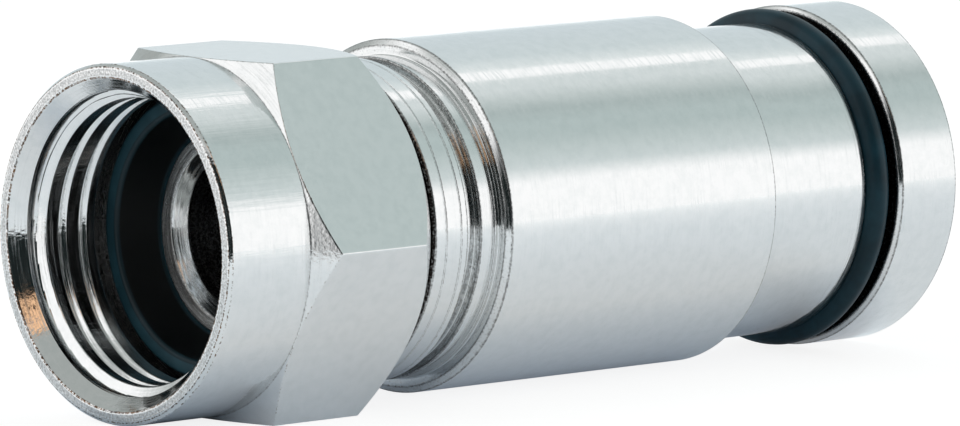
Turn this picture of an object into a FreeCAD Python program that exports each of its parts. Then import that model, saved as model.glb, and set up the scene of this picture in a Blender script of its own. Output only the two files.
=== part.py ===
import FreeCAD, Part
import math
import os

# F connector for coaxial cable: a free-turning hex nut on a hollow post, a turned body
# with a grooved neck, and a sealed sleeve that is pressed into the body to grip the cable.
# It lies on a flat of the nut. The axis is along X, the mouth of the nut looks to -X and
# the cable goes in from +X. The origin is under the middle of the length, on the ground.
# Sizes are millimetres. A station is a distance along the axis from the mouth of the nut,
# and a radius is measured from the axis.

# Nut, outside
NUT_LENGTH = 7.93
NUT_SLEEVE_LENGTH = 3.12
NUT_ACROSS_FLATS = 11.0
NUT_FRONT_CHAMFER_DEG = 32.0
NUT_REAR_CHAMFER_DEG = 47.0
NUT_EDGE_BREAK = 0.10

# Nut, inside: 3/8-32 thread, drawn as its plain minor bore
THREAD_MAJOR_R = 9.525 / 2
THREAD_PITCH = 25.4 / 32
THREAD_DEPTH_PER_PITCH = 0.5
THREAD_LENGTH = 2.55
MOUTH_RIM_WIDTH = 0.42
MOUTH_FLARE = 0.694
MOUTH_CHAMFER_LENGTH = 0.55
CHAMBER_LENGTH = 2.46
CHAMBER_RELIEF = 0.12
SHOULDER_THICKNESS = 1.00
SWIVEL_POCKET_R = 4.52
POCKET_CHAMFER = 0.15

# Post, from the cable's core outwards
POST_BORE_R = 2.45
POST_NOSE_WALL = 0.82
POST_NOSE_LENGTH = 0.40
POST_NOSE_CHAMFER = 0.06
POST_MOUTH_CHAMFER = 0.30
POST_SHANK_WALL = 0.55
POST_JOURNAL_STEP = 0.50
POST_FLANGE_HEIGHT = 0.80
POST_FLANGE_THICKNESS = 0.50
POST_TAIL_WALL = 0.30
POST_TAIL_LENGTH = 5.35
POST_BARB_HEIGHT = 0.30
POST_BARB_LENGTH = 1.00
POST_TIP_LENGTH = 0.20

# Front seal, a ring on the post's flange with a flat lip and a funnel inside it
FRONT_SEAL_OVERHANG = 0.04
FRONT_SEAL_LENGTH = 1.70
FRONT_SEAL_FUNNEL_RISE = 0.55
FRONT_SEAL_FUNNEL_DEPTH = 1.25
FRONT_SEAL_EDGE_BREAK = 0.10

# Body
SPIGOT_WALL = 0.59
NECK_GAP = 0.57
NECK_STEP = 0.49
NECK_LAND_LENGTH = 1.44
NECK_GROOVE_LENGTH = 0.45
NECK_GROOVE_DEPTH = 0.27
NECK_RIB_LENGTH = 0.73
NECK_EDGE_BREAK = 0.09
BARREL_WALL = 0.48
BARREL_LENGTH = 11.27
BARREL_FRONT_CHAMFER = 0.20
BARREL_REAR_BREAK = 0.06
CAVITY_MARGIN = 0.25

# Compression sleeve, from the cable's jacket outwards
SLEEVE_BORE_R = 3.80
SLEEVE_GROOVE_WALL = 0.54
SLEEVE_GROOVE_DEPTH = 0.62
SLEEVE_INSERT = 4.49
SLEEVE_TRAVEL = 4.30
SLEEVE_LEAD_CHAMFER = 0.15
FLANGE_HEIGHT = 0.49
FLANGE_LENGTH = 2.53
FLANGE_EDGE_BREAK = 0.10
CABLE_MOUTH_CHAMFER = 0.40

# Grip ferrule
FERRULE_STEP = 0.20
FERRULE_WALL = 0.68
FERRULE_SEAT_LENGTH = 2.90
FERRULE_NOSE_LENGTH = 1.30
FERRULE_NOSE_DROP = 0.33
FERRULE_SLOT_COUNT = 6
FERRULE_SLOT_WIDTH = 0.50
FERRULE_SLOT_LENGTH = 2.40

# Rubber rings in grooves
SWIVEL_SEAL_SECTION = 0.86
REAR_RING_SECTION = 1.05

# Height of a curve's middle poles over the height of its dome
DOME_POLE_SHARE = 4 / 3

# Clearances, on the radius or along the axis
SWIVEL_CLEARANCE = 0.06
END_PLAY = 0.06
PRESS_CLEARANCE = 0.01
SLIDE_CLEARANCE = 0.05
RING_CLEARANCE = 0.01
FERRULE_CLEARANCE = 0.03
STOP_CLEARANCE = 0.08

# Radii of the nut's thread, mouth and sleeve
THREAD_MINOR_R = THREAD_MAJOR_R - THREAD_DEPTH_PER_PITCH * THREAD_PITCH
MOUTH_R = THREAD_MINOR_R + MOUTH_FLARE
NUT_SLEEVE_R = MOUTH_R + MOUTH_RIM_WIDTH

# Radii of the post, its seal and the front of the body
POST_NOSE_R = POST_BORE_R + POST_NOSE_WALL
POST_TAIL_R = POST_BORE_R + POST_TAIL_WALL
POST_SHANK_R = POST_BORE_R + POST_SHANK_WALL
POST_JOURNAL_R = POST_SHANK_R + POST_JOURNAL_STEP
POST_FLANGE_R = POST_JOURNAL_R + POST_FLANGE_HEIGHT
FRONT_SEAL_R = POST_FLANGE_R + FRONT_SEAL_OVERHANG
SHANK_HOLE_R = POST_SHANK_R + PRESS_CLEARANCE
SPIGOT_R = SHANK_HOLE_R + SPIGOT_WALL

# Radii of the sleeve, its ferrule and the barrel round them
REAR_GROOVE_R = SLEEVE_BORE_R + SLEEVE_GROOVE_WALL
SLEEVE_R = REAR_GROOVE_R + SLEEVE_GROOVE_DEPTH
FLANGE_R = SLEEVE_R + FLANGE_HEIGHT
FERRULE_BORE_R = SLEEVE_BORE_R - FERRULE_STEP
FERRULE_R = FERRULE_BORE_R + FERRULE_WALL
FERRULE_NOSE_R = FERRULE_R - FERRULE_NOSE_DROP
CAVITY_FRONT_R = FERRULE_NOSE_R + CAVITY_MARGIN
BODY_BORE_R = SLEEVE_R + SLIDE_CLEARANCE
BARREL_R = BODY_BORE_R + BARREL_WALL
NECK_R = BARREL_R - NECK_STEP

# Stations along the nut and the post
THREAD_END = MOUTH_CHAMFER_LENGTH + THREAD_LENGTH
SHOULDER_FRONT = THREAD_END + CHAMBER_LENGTH
SHOULDER_REAR = SHOULDER_FRONT + SHOULDER_THICKNESS
FLANGE_SEAT = SHOULDER_FRONT - END_PLAY
POST_FLANGE_FRONT = FLANGE_SEAT - POST_FLANGE_THICKNESS
POST_NOSE_FRONT = POST_FLANGE_FRONT - POST_NOSE_LENGTH
FRONT_SEAL_FRONT = POST_FLANGE_FRONT - FRONT_SEAL_LENGTH

# Stations along the body
SPIGOT_FRONT = SHOULDER_REAR + END_PLAY
NECK_FRONT = NUT_LENGTH + NECK_GAP
NECK_GROOVE_FRONT = NECK_FRONT + NECK_LAND_LENGTH
NECK_RIB_FRONT = NECK_GROOVE_FRONT + NECK_GROOVE_LENGTH
BARREL_FRONT = NECK_RIB_FRONT + NECK_RIB_LENGTH
BARREL_REAR = BARREL_FRONT + BARREL_LENGTH

# Stations along the sleeve and the ferrule, as they stand before the sleeve is pressed home
SLEEVE_FRONT = BARREL_REAR - SLEEVE_INSERT
REAR_GROOVE_FRONT = BARREL_REAR + SLEEVE_TRAVEL + STOP_CLEARANCE
REAR_FLANGE_FRONT = REAR_GROOVE_FRONT + REAR_RING_SECTION + 2 * RING_CLEARANCE
REAR_END = REAR_FLANGE_FRONT + FLANGE_LENGTH
FERRULE_FRONT = SLEEVE_FRONT - FERRULE_NOSE_LENGTH
FERRULE_REAR = SLEEVE_FRONT + FERRULE_SEAT_LENGTH
FERRULE_POCKET_END = FERRULE_REAR + FERRULE_CLEARANCE

# The body's inside leaves room for the sleeve and the ferrule when they are pressed home
BODY_BORE_FRONT = SLEEVE_FRONT - SLEEVE_TRAVEL - STOP_CLEARANCE
CAVITY_FRONT = FERRULE_FRONT - SLEEVE_TRAVEL - STOP_CLEARANCE
POST_TAIL_END = CAVITY_FRONT + POST_TAIL_LENGTH

# The frame: the nut lies on one of its flats
AXIS_HEIGHT = NUT_ACROSS_FLATS / 2
MIDDLE_STATION = REAR_END / 2
X_AXIS = FreeCAD.Vector(1, 0, 0)


def point(station, radius):
    """The point at a station and a radius, above the axis in the XZ plane."""
    return FreeCAD.Vector(station - MIDDLE_STATION, 0, AXIS_HEIGHT + radius)


def on_axis(station):
    """The point on the axis at a station."""
    return point(station, 0)


def spun(wire):
    """The solid that a closed outline in the XZ plane sweeps about the axis."""
    return Part.Face(wire).revolve(on_axis(0), X_AXIS, 360)


def turned(outline):
    """A turned solid from the corners of its outline, each a station and a radius."""
    corners = [point(station, radius) for station, radius in outline]
    return spun(Part.makePolygon(corners + corners[:1]))


def domed_ring(start, end, rise, feet):
    """A rubber ring with one domed side: start and end are the dome's ends, rise the way
    from their middle to its top, and feet the other corners from end round to start."""
    dome = Part.BezierCurve()
    dome.setPoles([start, start + rise * DOME_POLE_SHARE, end + rise * DOME_POLE_SHARE, end])
    corners = [end] + feet + [start]
    sides = [Part.makeLine(a, b) for a, b in zip(corners, corners[1:])]
    return spun(Part.Wire([dome.toShape()] + sides))


def hex_bar(front, rear, across_flats):
    """A hexagonal bar between two stations, lying on one of its flats."""
    corner_r = across_flats / 2 / math.cos(math.pi / 6)
    corners = []
    for step in range(6):
        angle = step * math.pi / 3
        offset = FreeCAD.Vector(0, corner_r * math.cos(angle), corner_r * math.sin(angle))
        corners.append(on_axis(front) + offset)
    outline = Part.makePolygon(corners + corners[:1])
    return Part.Face(outline).extrude(X_AXIS * (rear - front))


def make_nut():
    """The nut: round sleeve, chamfered hexagon, thread bore, shoulder and rear pocket."""
    flat_r = NUT_ACROSS_FLATS / 2
    over_corner_r = flat_r / math.cos(math.pi / 6) + NUT_EDGE_BREAK
    front_rise = (over_corner_r - NUT_SLEEVE_R) * math.tan(math.radians(NUT_FRONT_CHAMFER_DEG))
    rear_rise = (over_corner_r - flat_r) * math.tan(math.radians(NUT_REAR_CHAMFER_DEG))
    sleeve = turned([
        (0, 0),
        (0, NUT_SLEEVE_R - NUT_EDGE_BREAK),
        (NUT_EDGE_BREAK, NUT_SLEEVE_R),
        (NUT_SLEEVE_LENGTH, NUT_SLEEVE_R),
        (NUT_SLEEVE_LENGTH, 0),
    ])
    chamfered = turned([
        (NUT_SLEEVE_LENGTH, 0),
        (NUT_SLEEVE_LENGTH, NUT_SLEEVE_R),
        (NUT_SLEEVE_LENGTH + front_rise, over_corner_r),
        (NUT_LENGTH - rear_rise, over_corner_r),
        (NUT_LENGTH, flat_r),
        (NUT_LENGTH, 0),
    ])
    hexagon = chamfered.common(hex_bar(NUT_SLEEVE_LENGTH, NUT_LENGTH, NUT_ACROSS_FLATS))
    chamber_r = THREAD_MAJOR_R + CHAMBER_RELIEF
    shoulder_r = POST_JOURNAL_R + SWIVEL_CLEARANCE
    inside = turned([
        (0, 0),
        (0, MOUTH_R),
        (MOUTH_CHAMFER_LENGTH, THREAD_MINOR_R),
        (THREAD_END, THREAD_MINOR_R),
        (THREAD_END, chamber_r),
        (SHOULDER_FRONT, chamber_r),
        (SHOULDER_FRONT, shoulder_r),
        (SHOULDER_REAR, shoulder_r),
        (SHOULDER_REAR, SWIVEL_POCKET_R),
        (NUT_LENGTH - POCKET_CHAMFER, SWIVEL_POCKET_R),
        (NUT_LENGTH, SWIVEL_POCKET_R + POCKET_CHAMFER),
        (NUT_LENGTH, 0),
    ])
    return sleeve.fuse(hexagon).cut(inside)


def make_post():
    """The hollow post, from the contact ring in the nut to the barbed tail in the cavity."""
    barb_front = POST_TAIL_END - POST_TIP_LENGTH - POST_BARB_LENGTH
    return turned([
        (POST_NOSE_FRONT, POST_BORE_R + POST_MOUTH_CHAMFER),
        (POST_NOSE_FRONT, POST_NOSE_R - POST_NOSE_CHAMFER),
        (POST_NOSE_FRONT + POST_NOSE_CHAMFER, POST_NOSE_R),
        (POST_FLANGE_FRONT, POST_NOSE_R),
        (POST_FLANGE_FRONT, POST_FLANGE_R),
        (FLANGE_SEAT, POST_FLANGE_R),
        (FLANGE_SEAT, POST_JOURNAL_R),
        (SPIGOT_FRONT, POST_JOURNAL_R),
        (SPIGOT_FRONT, POST_SHANK_R),
        (CAVITY_FRONT, POST_SHANK_R),
        (CAVITY_FRONT, POST_TAIL_R),
        (barb_front, POST_TAIL_R),
        (barb_front, POST_TAIL_R + POST_BARB_HEIGHT),
        (POST_TAIL_END - POST_TIP_LENGTH, POST_TAIL_R),
        (POST_TAIL_END, POST_BORE_R + POST_NOSE_CHAMFER),
        (POST_TAIL_END, POST_BORE_R),
        (POST_NOSE_FRONT + POST_MOUTH_CHAMFER, POST_BORE_R),
    ])


def make_front_seal():
    """The ring that meets the end of the port: square at the flange, with a funnel inside."""
    inner_r = POST_NOSE_R + RING_CLEARANCE
    lip_r = inner_r + FRONT_SEAL_FUNNEL_RISE
    rear = POST_FLANGE_FRONT - RING_CLEARANCE
    return turned([
        (FRONT_SEAL_FRONT, lip_r),
        (FRONT_SEAL_FRONT, FRONT_SEAL_R - FRONT_SEAL_EDGE_BREAK),
        (FRONT_SEAL_FRONT + FRONT_SEAL_EDGE_BREAK, FRONT_SEAL_R),
        (rear, FRONT_SEAL_R),
        (rear, inner_r),
        (FRONT_SEAL_FRONT + FRONT_SEAL_FUNNEL_DEPTH, inner_r),
    ])


def make_swivel_seal():
    """The square-cut ring on the body's spigot, in the pocket at the back of the nut."""
    middle = (SHOULDER_REAR + NECK_FRONT) / 2
    front = middle - SWIVEL_SEAL_SECTION / 2
    rear = middle + SWIVEL_SEAL_SECTION / 2
    inner_r = SPIGOT_R + RING_CLEARANCE
    outer_r = inner_r + SWIVEL_SEAL_SECTION
    return turned([(front, inner_r), (front, outer_r), (rear, outer_r), (rear, inner_r)])


def make_body():
    """The body: spigot, grooved neck, smooth barrel and the bore that takes the sleeve."""
    groove_r = NECK_R - NECK_GROOVE_DEPTH
    return turned([
        (SPIGOT_FRONT, SHANK_HOLE_R),
        (SPIGOT_FRONT, SPIGOT_R),
        (NECK_FRONT, SPIGOT_R),
        (NECK_FRONT, NECK_R - NECK_EDGE_BREAK),
        (NECK_FRONT + NECK_EDGE_BREAK, NECK_R),
        (NECK_GROOVE_FRONT - NECK_EDGE_BREAK, NECK_R),
        (NECK_GROOVE_FRONT, NECK_R - NECK_EDGE_BREAK),
        (NECK_GROOVE_FRONT, groove_r),
        (NECK_RIB_FRONT, groove_r),
        (NECK_RIB_FRONT, NECK_R - NECK_EDGE_BREAK),
        (NECK_RIB_FRONT + NECK_EDGE_BREAK, NECK_R),
        (BARREL_FRONT, NECK_R),
        (BARREL_FRONT, BARREL_R - BARREL_FRONT_CHAMFER),
        (BARREL_FRONT + BARREL_FRONT_CHAMFER, BARREL_R),
        (BARREL_REAR - BARREL_REAR_BREAK, BARREL_R),
        (BARREL_REAR, BARREL_R - BARREL_REAR_BREAK),
        (BARREL_REAR, BODY_BORE_R),
        (BODY_BORE_FRONT, BODY_BORE_R),
        (CAVITY_FRONT, CAVITY_FRONT_R),
        (CAVITY_FRONT, SHANK_HOLE_R),
    ])


def make_compression_sleeve():
    """The sleeve: ferrule pocket, cable bore, groove for its ring and the rear flange."""
    pocket_r = FERRULE_R + FERRULE_CLEARANCE
    return turned([
        (SLEEVE_FRONT, pocket_r),
        (SLEEVE_FRONT, SLEEVE_R - SLEEVE_LEAD_CHAMFER),
        (SLEEVE_FRONT + SLEEVE_LEAD_CHAMFER, SLEEVE_R),
        (REAR_GROOVE_FRONT, SLEEVE_R),
        (REAR_GROOVE_FRONT, REAR_GROOVE_R),
        (REAR_FLANGE_FRONT, REAR_GROOVE_R),
        (REAR_FLANGE_FRONT, FLANGE_R - FLANGE_EDGE_BREAK),
        (REAR_FLANGE_FRONT + FLANGE_EDGE_BREAK, FLANGE_R),
        (REAR_END - FLANGE_EDGE_BREAK, FLANGE_R),
        (REAR_END, FLANGE_R - FLANGE_EDGE_BREAK),
        (REAR_END, SLEEVE_BORE_R + CABLE_MOUTH_CHAMFER),
        (REAR_END - CABLE_MOUTH_CHAMFER, SLEEVE_BORE_R),
        (FERRULE_POCKET_END, SLEEVE_BORE_R),
        (FERRULE_POCKET_END, pocket_r),
    ])


def make_rear_o_ring():
    """The ring in front of the rear flange, which seals the body when the sleeve is home."""
    front = REAR_GROOVE_FRONT + RING_CLEARANCE
    rear = REAR_FLANGE_FRONT - RING_CLEARANCE
    inner_r = REAR_GROOVE_R + RING_CLEARANCE
    dome_r = inner_r + REAR_RING_SECTION / 2
    return domed_ring(
        point(front, dome_r),
        point(rear, dome_r),
        FreeCAD.Vector(0, 0, REAR_RING_SECTION / 2),
        [point(rear, inner_r), point(front, inner_r)],
    )


def make_grip_ferrule():
    """The plastic ring that closes on the cable: tapered nose cut into fingers."""
    ring = turned([
        (FERRULE_FRONT, FERRULE_BORE_R),
        (FERRULE_FRONT, FERRULE_NOSE_R),
        (SLEEVE_FRONT, FERRULE_R),
        (FERRULE_REAR, FERRULE_R),
        (FERRULE_REAR, FERRULE_BORE_R),
    ])
    reach = 2 * FERRULE_R
    slot = Part.makeBox(FERRULE_SLOT_LENGTH, FERRULE_SLOT_WIDTH, reach)
    slot.translate(on_axis(FERRULE_FRONT) - FreeCAD.Vector(0, FERRULE_SLOT_WIDTH / 2, 0))
    for step in range(FERRULE_SLOT_COUNT):
        turned_slot = slot.copy()
        turned_slot.rotate(on_axis(0), X_AXIS, step * 360 / FERRULE_SLOT_COUNT)
        ring = ring.cut(turned_slot)
    return ring


PIECES = {
    "nut": make_nut,
    "post": make_post,
    "front_seal": make_front_seal,
    "swivel_seal": make_swivel_seal,
    "body": make_body,
    "compression_sleeve": make_compression_sleeve,
    "rear_o_ring": make_rear_o_ring,
    "grip_ferrule": make_grip_ferrule,
}


def main():
    """Make each piece and write it to its own file."""
    os.makedirs("parts", exist_ok=True)
    for node, make in PIECES.items():
        piece = make()
        solids = piece.Solids
        if len(solids) != 1 or not piece.isValid():
            raise ValueError(f"{node} isn't one sound solid")
        solids[0].exportStep(f"parts/{node}.step")
        box = piece.BoundBox
        print(f"{node}: {piece.Volume:.2f} mm3, x {box.XMin:.2f} to {box.XMax:.2f}")


main()
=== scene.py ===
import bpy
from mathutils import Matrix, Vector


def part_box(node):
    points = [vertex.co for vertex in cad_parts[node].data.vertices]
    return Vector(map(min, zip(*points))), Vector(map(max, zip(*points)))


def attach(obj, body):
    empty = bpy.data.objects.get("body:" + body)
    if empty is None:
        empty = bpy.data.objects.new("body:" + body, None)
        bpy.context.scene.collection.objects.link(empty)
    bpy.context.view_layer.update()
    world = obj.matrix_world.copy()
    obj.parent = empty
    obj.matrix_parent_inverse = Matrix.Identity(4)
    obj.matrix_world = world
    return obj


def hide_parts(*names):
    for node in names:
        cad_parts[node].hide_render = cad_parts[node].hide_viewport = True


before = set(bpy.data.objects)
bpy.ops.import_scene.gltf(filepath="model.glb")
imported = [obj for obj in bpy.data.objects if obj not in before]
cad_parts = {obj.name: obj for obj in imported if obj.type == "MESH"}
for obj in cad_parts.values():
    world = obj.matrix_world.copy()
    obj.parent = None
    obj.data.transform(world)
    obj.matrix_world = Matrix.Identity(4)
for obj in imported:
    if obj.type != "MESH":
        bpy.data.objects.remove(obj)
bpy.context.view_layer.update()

import logging
import math
from collections.abc import Callable, Sequence
from dataclasses import dataclass
from enum import Enum
from functools import partial

import bmesh
import bpy
import numpy as np
from mathutils import Matrix, Vector

# An F connector that lies on a flat of its nut. Sizes are millimetres until a mesh is
# written, a station is a distance along the axis from the mouth of the nut, and a radius is
# measured from the axis, as in the part's own source.
MM = 0.001
REAR_END = 30.37
MIDDLE_STATION = REAR_END / 2
AXIS_HEIGHT = 5.5
WELD_DISTANCE = 0.001 * MM

# Edge wear also carries the painted highlight on the front seal's lip
WEAR_AND_HIGHLIGHT = "edge_wear_and_highlight"
# Grime also carries painted shade on hollows and on faces that lie in shadow
GRIME_AND_SHADE = "corner_grime"
MARKS = "tool_marks"
WHITE = "#ffffff"

log = logging.getLogger("f_connector")


class Body(Enum):
    """The bodies that the pieces ride on."""

    BODY = "body"
    NUT = "nut"
    SLEEVE = "sleeve"


class Slot(Enum):
    """Names of the material slots."""

    NICKEL = "nickel_plated_brass"
    RUBBER = "black_rubber"
    ACETAL = "acetal"


def linear(colour: str) -> tuple[float, float, float, float]:
    """An sRGB hex colour as the linear RGBA that the shaders take.

    Args:
        colour: a colour such as "#dedfdd".

    Returns:
        The linear red, green and blue, and an alpha of 1.
    """
    channels = [int(colour[start:start + 2], 16) / 255 for start in (1, 3, 5)]
    straight = [c / 12.92 if c <= 0.04045 else ((c + 0.055) / 1.055) ** 2.4 for c in channels]
    return (*straight, 1.0)


def add_node(
    tree: bpy.types.NodeTree,
    kind: str,
    inputs: dict[str | int, object] | None = None,
    out: str | int = 0,
    **settings: object,
) -> bpy.types.NodeSocket | None:
    """Add one node with its settings and its links.

    Args:
        tree: the tree that gets the node.
        kind: the node's type, without the prefix where it is a shader node.
        inputs: a value, or a socket to link from, for each input by name or index.
        out: the wanted output, by name or index.
        settings: the node's own properties.

    Returns:
        The wanted output, if the node has any.
    """
    prefix = "" if kind.startswith(("Geometry", "NodeGroup")) else "ShaderNode"
    node = tree.nodes.new(prefix + kind)
    for name, value in settings.items():
        setattr(node, name, value)
    for key, value in (inputs or {}).items():
        if isinstance(value, bpy.types.NodeSocket):
            tree.links.new(value, node.inputs[key])
        else:
            node.inputs[key].default_value = value
    return node.outputs[out] if node.outputs else None


def set_ramp(node: bpy.types.Node, stops: Sequence[tuple[float, str]]) -> None:
    """Give a colour ramp its stops.

    Args:
        node: the colour ramp.
        stops: a position and an sRGB hex colour for each stop, in order.
    """
    elements = node.color_ramp.elements
    while len(elements) < len(stops):
        elements.new(1.0)
    for element, (position, colour) in zip(elements, stops):
        element.position = position
        element.color = linear(colour)


def new_material(name: str) -> tuple[bpy.types.Material, Callable[..., bpy.types.NodeSocket]]:
    """An empty node material, and the function that adds nodes to its tree."""
    made = bpy.data.materials.new(name)
    made.use_nodes = True
    made.node_tree.nodes.clear()
    return made, partial(add_node, made.node_tree)


def new_geometry_tree(name: str, inputs: dict[str, object]) -> bpy.types.NodeTree:
    """A geometry node tree that takes geometry and named inputs, and gives geometry.

    Args:
        name: the tree's name.
        inputs: the value that each input will get, whose type is the input's.

    Returns:
        The tree, with no nodes yet.
    """
    tree = bpy.data.node_groups.new(name, "GeometryNodeTree")
    kinds = {int: "Int", float: "Float", bpy.types.Material: "Material"}
    sockets = [("Geometry", "INPUT", "Geometry"), ("Geometry", "OUTPUT", "Geometry")]
    sockets += [(key, "INPUT", kinds[type(value)]) for key, value in inputs.items()]
    for key, side, kind in sockets:
        tree.interface.new_socket(key, in_out=side, socket_type=f"NodeSocket{kind}")
    return tree


def use_tree(piece: bpy.types.Object, tree: bpy.types.NodeTree, inputs: dict[str, object]) -> None:
    """Give a piece a geometry node tree as a modifier.

    Args:
        piece: the piece.
        tree: the tree.
        inputs: the value of each of the tree's inputs, by name.
    """
    modifier = piece.modifiers.new(tree.name, "NODES")
    modifier.node_group = tree
    for item in tree.interface.items_tree:
        if item.in_out == "INPUT" and item.name in inputs:
            modifier[item.identifier] = inputs[item.name]


# Finishes


@dataclass(frozen=True)
class NickelPlatedBrass:
    """Bright nickel plating over machined brass.

    The plating is thin and follows the cut, so the eye gets a mirror that is drawn out
    across the tool marks, streaks that are a little duller than others, and edges where
    brass and tarnish show through. The tarnish colour is also painted as shade on hollows
    and on faces that lie in shadow.
    """

    name: str
    colour: str = "#dfe0e0"
    shade: str = "#d9dbdb"
    worn_brass: str = "#6f533c"
    tarnish_and_shade: str = "#1d1816"
    polish: float = 0.05
    dullest: float = 0.27
    dirt_dulls: float = 0.3
    anisotropy: float = 0.5
    mark_spacing_mm: float = 0.075
    mark_length_mm: float = 5.0
    mark_depth_mm: float = 0.0005
    streak_spacing_mm: float = 0.055
    streak_length_mm: float = 1.3
    mottle_mm: float = 0.35
    speckle_mm: float = 0.07
    chatter_spacing_mm: float = 0.11
    chatter_length_mm: float = 2.2
    chatter_depth_mm: float = 0.0
    shade_range: tuple[float, float] = (0.3, 0.6)
    streak_range: tuple[float, float] = (0.42, 0.68)
    wear_range: tuple[float, float] = (1.2, 1.4)
    grime_and_shade_range: tuple[float, float] = (0.75, 1.45)

    def material(self) -> bpy.types.Material:
        """Build the node material.

        Returns:
            The material, which reads Object coordinates and the attributes of wear, of grime
            and painted shade, and of tool marks.
        """
        made, add = new_material(self.name)
        place = add("TexCoord", out="Object")
        centred = add("VectorMath", {0: place, 1: (0, 0, AXIS_HEIGHT * MM)}, operation="SUBTRACT")
        across = add("VectorMath", {0: centred, 1: (0, 1, 1)}, operation="MULTIPLY")
        reach = add("VectorMath", {0: across}, "Value", operation="LENGTH")
        # Along the axis and out along the radius the marks are close, and round it they are long
        patterns = []
        for close_mm, long_mm, detail in (
            (self.mark_spacing_mm, self.mark_length_mm, 3.0),
            (self.streak_spacing_mm, self.streak_length_mm, 2.0),
        ):
            close, long = 1 / (close_mm * MM), 1 / (long_mm * MM)
            drawn = add("VectorMath", {0: centred, 1: (close, long, long)}, operation="MULTIPLY")
            depth = add("Math", {0: reach, 1: close}, operation="MULTIPLY")
            noise = {"Vector": drawn, "W": depth, "Scale": 1.0, "Detail": detail, "Roughness": 0.6}
            patterns.append(add("TexNoise", noise, noise_dimensions="4D"))
        marks, streaks = patterns
        mottle, speckle = (
            add(
                "TexNoise",
                {"Vector": centred, "Scale": 1 / (size * MM), "Detail": detail, "Roughness": rough},
            )
            for size, detail, rough in ((self.mottle_mm, 3.0, 0.6), (self.speckle_mm, 2.0, 0.5))
        )
        wear_and_highlight, grime, tooling = (
            add("Attribute", out="Fac", attribute_name=name) for name in (WEAR_AND_HIGHLIGHT, GRIME_AND_SHADE, MARKS)
        )
        # Wear, and tarnish that is partly dirt and partly painted shade, show where their
        # attribute and a fleck of the pattern add up
        worn, dirt_and_shade = (
            add("Math", {0: amount, 1: speckle}, operation="ADD") for amount in (wear_and_highlight, grime)
        )
        shade, worn, dirt_and_shade = (
            add("MapRange", {"Value": amount, "From Min": start, "From Max": end})
            for amount, (start, end) in (
                (mottle, self.shade_range), (worn, self.wear_range), (dirt_and_shade, self.grime_and_shade_range)
            )
        )
        colour, edge_tone = (
            add("Mix", {0: shade, 6: linear(dark), 7: linear(light)}, 2, data_type="RGBA")
            for dark, light in ((self.shade, self.colour), (self.tarnish_and_shade, self.worn_brass))
        )
        for share, other in ((worn, edge_tone), (dirt_and_shade, linear(self.tarnish_and_shade))):
            colour = add("Mix", {0: share, 6: colour, 7: other}, 2, data_type="RGBA")
        start, end = self.streak_range
        levels = {"From Min": start, "From Max": end, "To Min": self.polish, "To Max": self.dullest}
        grain = add("MapRange", {"Value": streaks, **levels})
        rough = add("Math", {0: dirt_and_shade, 1: self.dirt_dulls, 2: grain}, operation="MULTIPLY_ADD")
        height = add("Math", {0: marks, 1: tooling}, operation="MULTIPLY")
        bump = add("Bump", {"Height": height, "Distance": self.mark_depth_mm * MM, "Strength": 1.0})
        if self.chatter_depth_mm:
            # Faint lines along the axis, where the tool trembled from cut to cut
            close, long = 1 / (self.chatter_spacing_mm * MM), 1 / (self.chatter_length_mm * MM)
            drawn = add("VectorMath", {0: centred, 1: (long, close, close)}, operation="MULTIPLY")
            chatter = add("TexNoise", {"Vector": drawn, "Scale": 1.0, "Detail": 2.0})
            deep = {"Distance": self.chatter_depth_mm * MM, "Strength": 1.0}
            bump = add("Bump", {"Height": chatter, "Normal": bump, **deep})
        surface = add(
            "BsdfPrincipled",
            {
                "Base Color": colour,
                "Metallic": 1.0,
                "Roughness": rough,
                "Anisotropic": self.anisotropy,
                "Anisotropic Rotation": 0.25,
                "Tangent": add("Tangent", direction_type="RADIAL", axis="X"),
                "Normal": bump,
            },
        )
        add("OutputMaterial", {"Surface": surface})
        return made


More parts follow.
